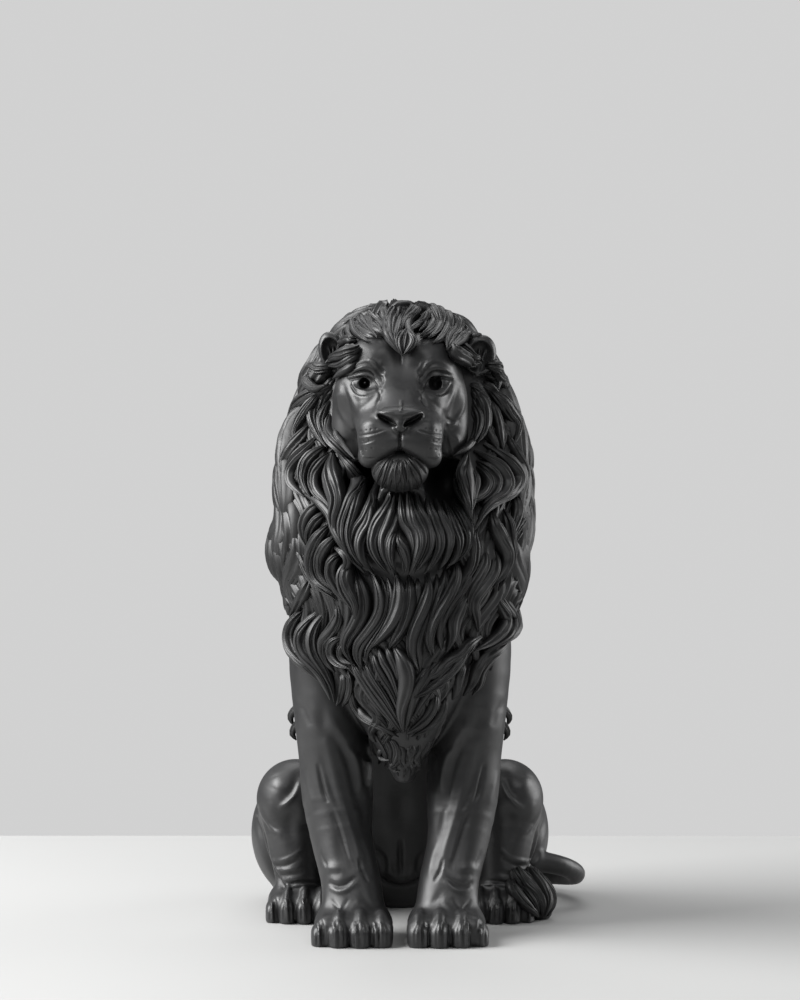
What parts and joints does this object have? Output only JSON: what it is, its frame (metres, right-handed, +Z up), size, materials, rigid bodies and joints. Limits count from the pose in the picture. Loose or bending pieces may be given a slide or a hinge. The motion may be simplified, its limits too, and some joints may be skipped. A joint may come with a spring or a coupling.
{
  "type": "seated lion statue",
  "caption": "Seated lion statuette cast in one piece, with a heavy waved mane, straight forelegs, folded haunches and a tail looped out to one side; stands on its own flat underside as an ornament.",
  "frame": {"origin": "on the ground, on the flat underside of the seat, in the lion's plane of symmetry", "axes": "+Z up, the lion faces -Y, +X is the lion's own left side, where the tail loops out"},
  "size_m": [0.2238, 0.2662, 0.4009],
  "materials": {
    "cast_resin": "satin matte charcoal-black cast resin"
  },
  "bodies": {
    "root": {"lion": "cast_resin"}
  },
  "joints": []
}
